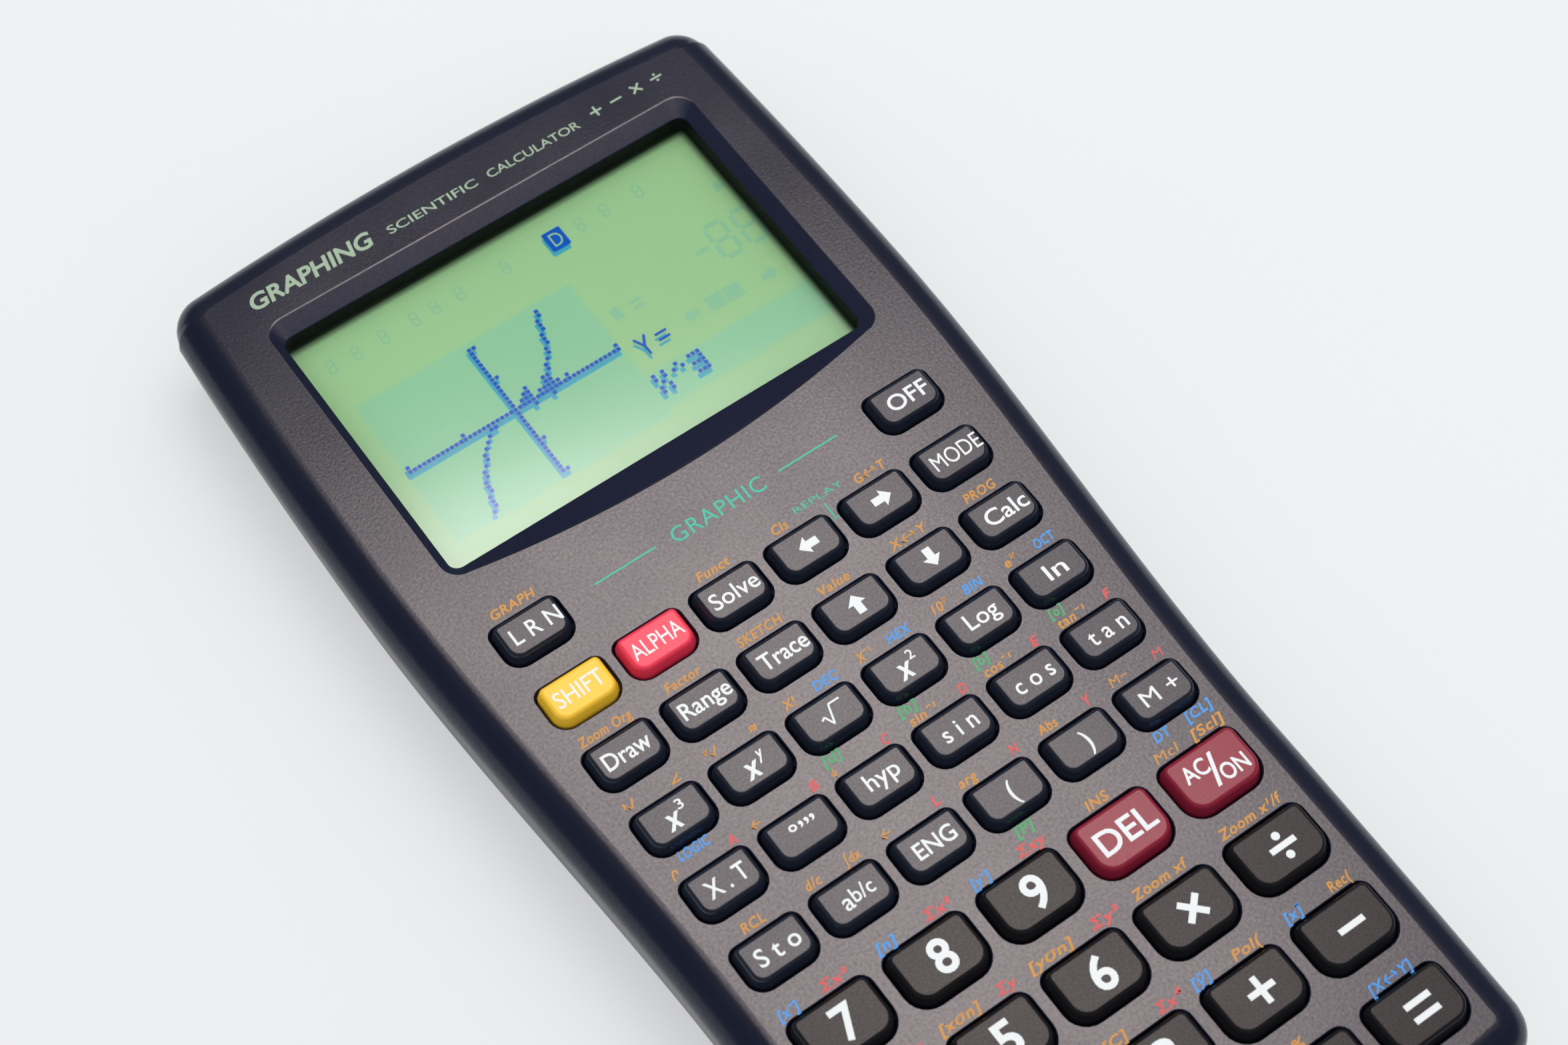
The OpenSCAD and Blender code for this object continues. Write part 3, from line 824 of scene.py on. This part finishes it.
# ------ keys
# Legend of a key: text, width, shift of its middle from the key's middle in X and Y, and its thickening
SMALL_CAP = 2.25
WORDS = {
    "lrn": ("L R N", 6.9, 0.5, 0, 0.008),
    "off": ("OFF", 6.0, 0.4, 0, 0.012),
    "shift": ("SHIFT", 6.8, 0, 0, 0.004),
    "alpha": ("ALPHA", 7.2, 0, 0, 0.004),
    "solve": ("Solve", 6.8, 0.2, 0, 0.008),
    "mode": ("MODE", 7.2, 0.4, 0, 0.016),
    "draw": ("Draw", 6.4, 0, 0, 0.012),
    "range": ("Range", 7.0, 0.2, 0.2, 0.012),
    "trace": ("Trace", 6.8, 0.3, 0, 0.012),
    "calc": ("Calc", 6.2, 0.4, 0, 0.012),
    "log": ("Log", 4.6, 0.2, 0.2, 0.008),
    "ln": ("ln", 2.9, 0.2, 0, 0.008),
    "variable": ("X . T", 5.6, 0.2, 0, 0.012),
    "degree": ("°’’’", 3.6, 0.2, 0, 0.012),
    "hyp": ("hyp", 4.6, 0.2, 0.3, 0.008),
    "sin": ("s i n", 4.9, 0.2, 0, 0.008),
    "cos": ("c o s", 5.6, 0.2, 0, 0.008),
    "tan": ("t a n", 5.6, 0.2, 0, 0.008),
    "store": ("S t o", 5.9, 0.2, 0, 0.01),
}
LEGENDS = {key: [(text, SMALL_CAP, *rest)] for key, (text, *rest) in WORDS.items()}
# These name their cap height after the text
POWER_BASE = ("x", 2.9, 2.3, -0.5, -0.1, 0.024)
LEGENDS |= {
    "cube": [POWER_BASE, ("3", 1.3, 0.9, 1.2, 1.0, 0.01)],
    "power": [POWER_BASE, ("y", 1.6, 1.15, 1.3, 1.0, 0.018)],
    "square": [POWER_BASE, ("2", 1.3, 0.9, 1.2, 1.0, 0.01)],
    "fraction": [("a", 2.2, 1.3, -1.3, -0.1, 0.008), ("b/c", 1.9, 3.0, 1.0, 0.1, 0.008)],
    "eng": [("ENG", 2.1, 5.6, 0.2, 0, 0.012)],
    "open_bracket": [("(", 2.5, 0.9, 0.2, 0, 0.012)],
    "close_bracket": [(")", 2.5, 0.9, 0.2, 0, 0.012)],
    "memory_plus": [("M +", 2.1, 5.4, 0.2, 0, 0.012)],
    "delete": [("DEL", 3.1, 8.0, 0.1, 0, 0.014)],
    "clear_on": [
        ("AC", 2.1, 3.6, -2.1, 1.1, 0.016),
        ("/", 4.2, 2.1, 0, 0, 0),
        ("ON", 2.1, 3.8, 2.2, -1.1, 0.016),
    ],
    "point": [("•", 1.5, 1.0, 0.2, 0.2, 0)],
    "exponent": [("EXP", 2.9, 7.2, 0.2, 0, 0.014)],
    "answer": [("Ans", 2.9, 6.6, 0.2, 0, 0.014)],
}
for digit in "0123456789":
    digit_width, digit_bold = 1.8 if digit == "1" else 2.9, 0.012 if digit == "4" else 0.022
    LEGENDS[digit] = [(digit, 4.2, digit_width, 0.3, 0, digit_bold)]
ARROWS = {"left": math.pi, "right": 0, "up": math.pi / 2, "down": -math.pi / 2}
ARROW_SIZE = 2.8
SIGN_SIZE = 3.7
SIGN_STROKE = 0.8
ROOT_SIGN = ((-1.7, -0.2), (-1.2, 0.1), (-0.6, -1.3), (0.2, 1.3), (1.8, 1.3))
ROOT_STROKE = 0.26
DIVIDE_DOT = 0.55
# Side of a key's cap up to its rounded edge: inset, and height above the face
CAP_SIDE = ((0, -0.2), (0.13, 0.3), (0.26, 0.8), (0.34, 1.1))
CAP_SIDE += ((0.42, 1.3), (0.52, 1.44), (0.64, 1.54), (0.77, 1.585))
CAP_INSIDE = ((1.3, 0.6), (0.9, 0.3), (0.65, -0.6))
FLANGE_HEIGHT = 0.8


def add_sign(bm, key, x, y, z):
    """Root sign and arithmetic signs, built from bars and strokes."""
    half, thin = SIGN_SIZE / 2, SIGN_STROKE / 2
    if key == "root":
        points = [Vector((x + px, y + py)) for px, py in ROOT_SIGN]
        for i, (start, end) in enumerate(zip(points, points[1:])):
            # Each stroke lies a little higher, so that no two faces share a plane
            add_stroke(bm, start, end, ROOT_STROKE / 2, z + 0.003 * i)
    if key in ("plus", "multiply"):
        cross = [(-half, -thin), (-thin, -thin), (-thin, -half), (thin, -half), (thin, -thin), (half, -thin)]
        cross += [(-px, -py) for px, py in cross]
        angle, size = (0, 1) if key == "plus" else (math.pi / 4, 1.05)
        turned = [Matrix.Rotation(angle, 2) @ Vector(point) * size for point in cross]
        add_shape(bm, [(x + p.x, y + p.y) for p in turned], z)
    if key in ("minus", "divide"):
        add_shape(bm, bar(x - half, x + half, y - thin, y + thin), z)
    for side in (-1, 1):
        if key == "divide":
            middle = y + side * 1.4
            dot = [(x + DIVIDE_DOT * math.cos(a), middle + DIVIDE_DOT * math.sin(a)) for a in full_turn(16)]
            add_shape(bm, dot, z)
        if key == "equals":
            middle = y + side * 0.95
            add_shape(bm, bar(x - half, x + half, middle - thin, middle + thin), z)


def build_key(node):
    centre, width, depth = key_frame(node)
    low, high = corners(node)
    top, under = high.z, low.z
    inside = [(i, FACE + z) for i, z in CAP_INSIDE] + [(0.65, under)]
    outside = [(0, under)] + [(i, FACE + z) for i, z in CAP_SIDE] + [(0.88, top)]
    rings = [raised(centred(width, depth, i, *key_corners(node)), z, centre) for i, z in inside + outside]
    key = build(node + "_cap", add_loft, rings)
    flanges = bmesh.new()
    near, far = centre[1] - depth / 4, centre[1] + depth / 4
    edge = width / 2 - KEY_FLANGE
    for x0, x1 in ((low.x, centre[0] - edge), (centre[0] + edge, high.x)):
        add_plate(flanges, (x0, near), (x1, far), 0.12, under, under + FLANGE_HEIGHT, steps=2)
    combine(key, make_object("flanges", flanges), "UNION")
    soften(key, 32)
    dress(key, KEY_PLASTICS[SLOT[node]])
    stand_for(key, node)

    name = node.removeprefix("key_")
    legend = bmesh.new()
    for text, cap, wide, dx, dy, bold in LEGENDS.get(name, []):
        slant = 0.25 if text in ("x", "y") else 0.0
        x, y = centre[0] + dx, centre[1] + dy - cap / 2
        add_text(legend, text, x - wide / 2, x + wide / 2, y, cap, top, bold, slant)
    if name in ARROWS:
        add_shape(legend, block_arrow((centre[0] + 0.1, centre[1]), ARROW_SIZE, ARROWS[name]), top)
    add_sign(legend, name, centre[0] + 0.3, centre[1], top)
    print_object(node + "_legend", legend, "white", BODY[node])


# ------ print on the face
# Lettering above the rows of keys: a key in the row, height of the baseline above the key's middle, colour,
# and the labels with their left and right ends
ROW_PRINT = (
    ("lrn", 4.2, "orange", "GRAPH -31.6 -25.2"),
    ("solve", 4.1, "orange", "Funct -7.9 -3, Cls 3.6 5.9, G↔T 16.5 21.2"),
    ("draw", 4.0, "orange", "Zoom Org -32.5 -24.8, Factor -19.8 -14.6, SKETCH -9 -2.4, Value 3.4 7.9"),
    ("draw", 4.0, "orange", "X↔Y 14.3 20, PROG 26 30.8"),
    ("cube", 4.06, "orange", "³√ -32.8 -31, ∠ -26.2 -24.8, ˣ√ -21 -19, ≈ -14.6 -13.4, X! -9.5 -7.6"),
    ("cube", 4.06, "orange", "X⁻¹ 1.6 4, 10ˣ 13.2 15.8, eˣ 24.5 26.6"),
    ("cube", 4.06, "blue", "DEC -4.9 -1.3, HEX 6.2 9.8, BIN 18 21, OCT 29.2 32.3"),
    ("variable", 5.5, "blue", "LOGIC -31 -26.5"),
    ("variable", 5.5, "green", "[d] -10 -7.2, [h] 1.3 4.2, [b] 12.8 15.2, [o] 24.5 26.8"),
    ("variable", 3.74, "orange", "θ -33 -32, ← -21.7 -20.3, ↓ -9.9 -9.1"),
    ("variable", 3.74, "orange", "sin⁻¹ 1.8 6, cos⁻¹ 13.2 17.5, tan⁻¹ 24.7 29"),
    ("variable", 3.74, "red", "A -25.1 -23.9, B -13.1 -11.9, C -2.4 -1.2, D 9.3 10.5"),
    ("variable", 3.74, "red", "E 20.4 21.6, F 31.8 33"),
    ("store", 4.0, "orange", "RCL -30.2 -27, d/c -21 -18.8, ∫dx -15.5 -13, ← -9.9 -8.5"),
    ("store", 4.0, "orange", "arg 1.6 4.3, Abs 13.7 16.5, M− 24.8 27.5"),
    ("store", 4.0, "red", "L -2.3 -1.3, N 9.4 10.6, Y 20.7 21.9, M 31.5 33"),
    ("7", 7.0, "green", "[P] 3.2 6"),
    ("7", 7.0, "blue", "DT 24.5 27, [CL] 29.3 33.4"),
    ("7", 4.74, "blue", "[xˉ] -33 -30, [n] -19 -16, [yˉ] -5 -2.2"),
    ("7", 4.74, "red", "Σx³ -27 -23, Σx² -12 -8, Σxy 1.8 6"),
    ("7", 4.74, "orange", "INS 12.2 15.5, Mcl 22.8 26.4, [Scl] 28.3 33.4"),
    ("4", 4.87, "orange", "[xσn] -33 -26.8, [xσn] -19 -13, [yσn] -6 0.6, Zoom xf 9.5 17.7"),
    ("4", 4.87, "orange", "Zoom x¹/f 22.7 32.2"),
    ("4", 4.87, "red", "Σx -24.2 -21.2, Σy -10.6 -7.8, Σy² 3.2 7.5"),
    ("1", 4.7, "orange", "[A] -33 -29.8, [B] -19 -16, [C] -5 -1.4, Pol( 14.3 18.7, Rec( 29 32.4"),
    ("1", 4.7, "red", "Σx²y -27.4 -22.6, Σx⁴ 3 7"),
    ("1", 4.7, "blue", "[ŷ] 8.2 11, [x̂] 22.2 25"),
    ("0", 4.5, "orange", "Ran# -30.4 -25.4, π -0.6 1.2, % 12.8 14.6"),
    ("0", 4.5, "blue", "[r] -15 -12.4, [X↔Y] 24.4 30.8"),
)
PRINT_CAP = 1.3
PRINT_STYLE = {"bold": 0.022, "slant": 0.22, "spacing": 1.1}


def build_face_print():
    sheets = {colour: bmesh.new() for colour in ("orange", "blue", "red", "green", "teal", "pale")}
    for key, rise, colour, labels in ROW_PRINT:
        baseline = key_frame("key_" + key)[0][1] + rise
        for label in labels.split(", "):
            text, x0, x1 = label.rsplit(" ", 2)
            add_text(sheets[colour], text, float(x0), float(x1), baseline, PRINT_CAP, FACE, **PRINT_STYLE)
    teal = sheets["teal"]
    add_text(teal, "GRAPHIC", -7.0, 7.0, 20.8, 2.2, FACE, spacing=1.1)
    for x0, x1 in ((-18.6, -9.4), (9.4, 18.6)):
        add_shape(teal, bar(x0, x1, 21.87, 22.1), FACE)
    add_text(teal, "REPLAY", 7.6, 15.0, 15.6, 0.95, FACE, -0.004)
    add_shape(teal, bar(11.3, 11.5, 12.2, 14.9), FACE)
    for x0, x1 in ((10.9, 11.3), (11.5, 11.9)):
        add_shape(teal, bar(x0, x1, 12.2, 12.34), FACE)
    pale = sheets["pale"]
    add_text(pale, "GRAPHING", -32.2, -13.6, 81.4, 2.4, FACE, 0.026, 0.18)
    add_text(pale, "SCIENTIFIC", -11.3, 2.6, 81.5, 1.3, FACE, 0.006)
    add_text(pale, "CALCULATOR", 4.4, 19.1, 81.5, 1.3, FACE, 0.006)
    add_text(pale, "+ − × ÷", 21.3, 33.0, 81.3, 2.5, FACE)
    for colour, bm in sheets.items():
        print_object("face_print_" + colour, bm, colour)


# ------ display
DOT_PITCH = 0.7
DOT_SIZE = 0.55
DOT_HALF_HEIGHT = 0.006
DOT_Z = LENS_TOP - LENS_THICKNESS - 0.06
PANEL_TOP = LENS_TOP - LENS_THICKNESS - 0.14
SHADOW_SHIFT = (-0.38, -0.66)
# The graph: where its axes cross, its reach in dots, and how flat its cubic curve is
AXES_X, AXES_Y = -11.6, 51.2
AXIS_REACH_X, AXIS_REACH_Y = 23, 16
CURVE_REACH = 15
CURVE_FLATNESS = 210
# Columns where the curve meets the level axis in a cluster: lowest and highest lit dot
CLUSTER = {2: (0, 1), 3: (0, 2), 4: (-1, 3), 6: (0, 1), 7: (0, 1), 8: (-1, 3), 9: (0, 3), 10: (0, 1)}
# The letters X^3 in dots, then Y and = in strokes
FORMULA = ("10100100111", "10101010001", "01000000111", "10100000001", "10100000111")
FORMULA_X, FORMULA_Y = 5.77, 42.2
STROKES = (((6.8, 51.2), (7.6, 49.6)), ((8.45, 51.2), (7.6, 49.6)), ((7.6, 49.8), (7.65, 48.1)))
STROKES += (((9.6, 49.2), (11.35, 49.2)), ((9.6, 50.2), (11.35, 50.2)))
STROKE_HALF = 0.17
# Idle segments that show faintly: left ends of the small figures in the top row
IDLE_ROW = (-28.2, -24.4, -20.2, -15.4, -12.2, -8.4, -1.2, 10.8, 14.8, 20.2)


def lit_dots():
    """Middles of the lit dots: the two axes with their ticks, a cubic curve and the formula."""
    dots = {(i, 0) for i in range(-AXIS_REACH_X, AXIS_REACH_X + 1)}
    dots |= {(0, j) for j in range(-AXIS_REACH_Y, AXIS_REACH_Y + 1)}
    dots |= {(i, 1) for i in (-AXIS_REACH_X, -11, 12, AXIS_REACH_X)}
    dots |= {(1, j) for j in (-AXIS_REACH_Y, -8, 8, AXIS_REACH_Y)}
    for i in range(-CURVE_REACH, CURVE_REACH + 1):
        start = round((i - 0.5) ** 3 / CURVE_FLATNESS)
        end = round((i + 0.5) ** 3 / CURVE_FLATNESS)
        for j in range(start, max(start + 1, end)):
            if abs(j) <= AXIS_REACH_Y:
                dots.add((i, j))
    dots |= {(i, j) for i, (low, high) in CLUSTER.items() for j in range(low, high + 1)}
    places = [(AXES_X + DOT_PITCH * i, AXES_Y + DOT_PITCH * j) for i, j in sorted(dots)]
    for row, line in enumerate(reversed(FORMULA)):
        for column, lit in enumerate(line):
            if lit == "1":
                places.append((FORMULA_X + DOT_PITCH * column, FORMULA_Y + DOT_PITCH * row))
    return places


def seven_bars(x, y, height):
    """Outlines of the bars of a seven-bar figure; the middle one comes first."""
    w, h, t = height * 0.52, height / 2, height * 0.1
    flat = [bar(x + t, x + w - t, low, low + t) for low in (y + h - t / 2, y, y + 2 * h - t)]
    spans = ((y + h + t / 2, y + 2 * h - t), (y + t, y + h - t / 2))
    return flat + [bar(*side, *span) for side in ((x, x + t), (x + w - t, x + w)) for span in spans]


def build_display():
    low, high = (lens_low.x, lens_low.y), (lens_high.x, lens_high.y)
    bottom = lens_low.z
    lens = build("display_lens", add_plate, low, high, 1.0, LENS_TOP - LENS_THICKNESS, LENS_TOP, edge=0.12)
    soften(lens, 30)
    dress(lens, clear_lens())
    panel = build("display_panel", add_plate, low, high, 0.4, bottom + 0.15, PANEL_TOP, edge=0.1)
    soften(panel, 30)
    dress(panel, panel_material)
    reflector = build("display_reflector", add_plate, low, high, 0.4, bottom, bottom + 0.12, edge=0.03)
    dress(reflector, metal("reflector", srgb(190, 194, 188), 0.35))

    matrix = bmesh.new()
    for corner_low, corner_high in (((-28.4, 38.9), (4.9, 63.6)), ((4.95, 40.0), (31.2, 45.7))):
        add_plate(matrix, corner_low, corner_high, 0.2, PANEL_TOP - 0.004, PANEL_TOP + 0.004)
    matrix = make_object("display_matrix_area", matrix)
    dress(matrix, matrix_material)

    idle = seven_bars(24.1, 54.4, 6.4) + seven_bars(28.3, 54.4, 6.4) + seven_bars(20.8, 54.4, 6.4)[:1]
    for x in IDLE_ROW:
        idle += seven_bars(x, 69.6, 2.3)
    idle += [block_arrow((15.4, 50.0), 2.4, math.pi), block_arrow((27.6, 49.4), 2.4, 0)]
    idle += [bar(18.0, 20.5, 48.8, 51.2), bar(20.8, 23.3, 48.7, 51.1), bar(29.6, 31.0, 64.4, 65.8)]
    idle += [bar(6.8, 8.2, 55.0, 57.0), bar(9.6, 11.4, 55.0, 55.5), bar(9.6, 11.4, 56.1, 56.6)]
    ghost = bmesh.new()
    for outline in idle:
        add_shape(ghost, outline, PANEL_TOP)
    ghost = make_object("display_idle_figures", ghost)
    dress(ghost, ghost_material)

    flag = build("display_flag_letter", add_text, "D", 6.75, 8.35, 69.45, 2.2, DOT_Z + 0.01, -0.005)
    dress(flag, panel_material)
    for name, shift, z, size, material in (
        ("display_dots", (0, 0), DOT_Z, DOT_SIZE, dot_material),
        ("display_dot_shadows", SHADOW_SHIFT, PANEL_TOP + 0.012, DOT_PITCH, dot_shadow_material),
    ):
        half, heights = size / 2, (z - DOT_HALF_HEIGHT, z + DOT_HALF_HEIGHT)
        dx, dy = shift
        bm = bmesh.new()
        for x, y in lit_dots():
            x, y = x + dx, y + dy
            add_plate(bm, (x - half, y - half), (x + half, y + half), 0.06, *heights, steps=1)
        for i, ends in enumerate(STROKES):
            start, end = (Vector(point) + Vector(shift) for point in ends)
            add_stroke(bm, start, end, STROKE_HALF, z + 0.002 * i)
        add_plate(bm, (6.1 + dx, 68.9 + dy), (8.9 + dx, 72.2 + dy), 0.25, *heights)
        dots = make_object(name, bm)
        dress(dots, material)
        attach(dots, "case")
    for piece in (reflector, matrix, ghost, flag):
        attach(piece, "case")
    for piece in (lens, panel):
        stand_for(piece, "display_module")


# ------ build everything
build_front_case()
build_rear_case()
build_cover()
build_cells()
build_screws()
build_display()
for key_node in KEY_NODES:
    build_key(key_node)
build_face_print()
dress(frame["nodes"]["circuit_board"], circuit_material())
dress(frame["nodes"]["key_mat"], silicone_material())


# ------ studio
SOFTBOX_PLACE, SOFTBOX_TARGET = Vector((200, 160, 640)), Vector((20, 10, 0))
SOFTBOX_WIDTH, SOFTBOX_DEPTH = 620, 560
SOFTBOX_RADIANCE = 1.75
CARD_HEIGHT = 640
CARD_RADIANCE = 5.9
WORLD_STRENGTH = 0.8
CAMERA_TARGET = Vector((5.68, 15.52, 16.4))
CAMERA_DISTANCE = 375.5
CAMERA_AZIMUTH, CAMERA_ELEVATION, CAMERA_ROLL = (math.radians(a) for a in (35.906, 60.771, 0.33))


def build_floor():
    bm = bmesh.new()
    bmesh.ops.create_grid(bm, x_segments=12, y_segments=12, size=3000)
    bmesh.ops.translate(bm, verts=bm.verts, vec=(0, 0, -0.05))
    floor = make_object("studio_floor", bm)
    dress(floor, floor_material())


def build_softbox():
    """Broad soft light from the upper right that stays out of reflections."""
    data = bpy.data.lights.new("softbox", "AREA")
    data.shape = "RECTANGLE"
    data.size, data.size_y = SOFTBOX_WIDTH * MM, SOFTBOX_DEPTH * MM
    data.energy = SOFTBOX_RADIANCE * math.pi * data.size * data.size_y
    data.color = (1.0, 0.98, 0.95)
    light = new_object("softbox", data)
    light.location = SOFTBOX_PLACE * MM
    light.rotation_euler = (SOFTBOX_TARGET - SOFTBOX_PLACE).to_track_quat("-Z", "Y").to_euler()
    light.visible_glossy = False


def build_world():
    """Even pale surround for soft light; in reflections it is brighter low down than overhead."""
    world = bpy.data.worlds.new("studio")
    bpy.context.scene.world = world
    s = Shader("studio", world)
    mirrored = s.span(s.split(s.coordinates["Generated"])["Z"], 0.16, 0.05, 0, 0.5)
    glossy = s.add("ShaderNodeLightPath").outputs["Is Glossy Ray"]
    strength = s.add("ShaderNodeMix", {"Factor": glossy, 2: WORLD_STRENGTH, 3: mirrored}).outputs[0]
    background = s.tree.nodes["Background"].inputs
    s.join(background["Strength"], strength)
    s.join(background["Color"], (0.9, 0.95, 1.0, 1))


def build_reflection_card():
    """Softly edged white card overhead, seen only in reflections, that gives the face its broad sheen."""
    bm = bmesh.new()
    bm.faces.new([bm.verts.new((x, y, CARD_HEIGHT)) for x, y in bar(-260, 620, -330, 400)])
    card = make_object("reflection_card", bm)
    s = Shader("reflection_card")
    x, y = s.split(s.place)["X"], s.split(s.place)["Y"]
    slanted = s.calculate("ADD", y, s.calculate("MULTIPLY", x, 0.15))
    share = CARD_RADIANCE
    for value, low, high, start, end in (
        (slanted, 1, 0, 0.388, 0.406),
        (y, 0, 1, -0.12, 0.06),
        (y, 0.74, 1, 0.24, 0.33),
        (x, 0, 1, -0.1, 0.14),
        (x, 1, 0, 0.24, 0.37),
    ):
        share = s.calculate("MULTIPLY", share, s.span(value, low, high, start, end))
    dress(card, s.surface(s.add("ShaderNodeEmission", {"Color": (1.0, 0.87, 0.83, 1), "Strength": share})))
    card.visible_camera = False
    card.visible_diffuse = False
    card.visible_shadow = False
    card.visible_transmission = False


def build_camera():
    """Camera at the photo's viewing angle, focused on a marker that stays put when the camera moves."""
    data = bpy.data.cameras.new("camera")
    data.lens = 68.617
    data.sensor_width = 36
    data.clip_start = 0.02
    level = math.cos(CAMERA_ELEVATION)
    down = -math.sin(CAMERA_ELEVATION)
    ahead = Vector((math.sin(CAMERA_AZIMUTH) * level, math.cos(CAMERA_AZIMUTH) * level, down))
    camera = new_object("camera", data)
    camera.location = (CAMERA_TARGET - ahead * CAMERA_DISTANCE) * MM
    roll = Matrix.Rotation(CAMERA_ROLL, 3, "Z").to_quaternion()
    camera.rotation_euler = (ahead.to_track_quat("-Z", "Y") @ roll).to_euler()
    focus = new_object("focus", None)
    focus.location = CAMERA_TARGET * MM
    data.dof.use_dof = True
    data.dof.focus_object = focus
    data.dof.aperture_fstop = 32
    bpy.context.scene.camera = camera


build_floor()
build_world()
build_softbox()
build_reflection_card()
build_camera()
bpy.context.scene.view_settings.view_transform = "Standard"
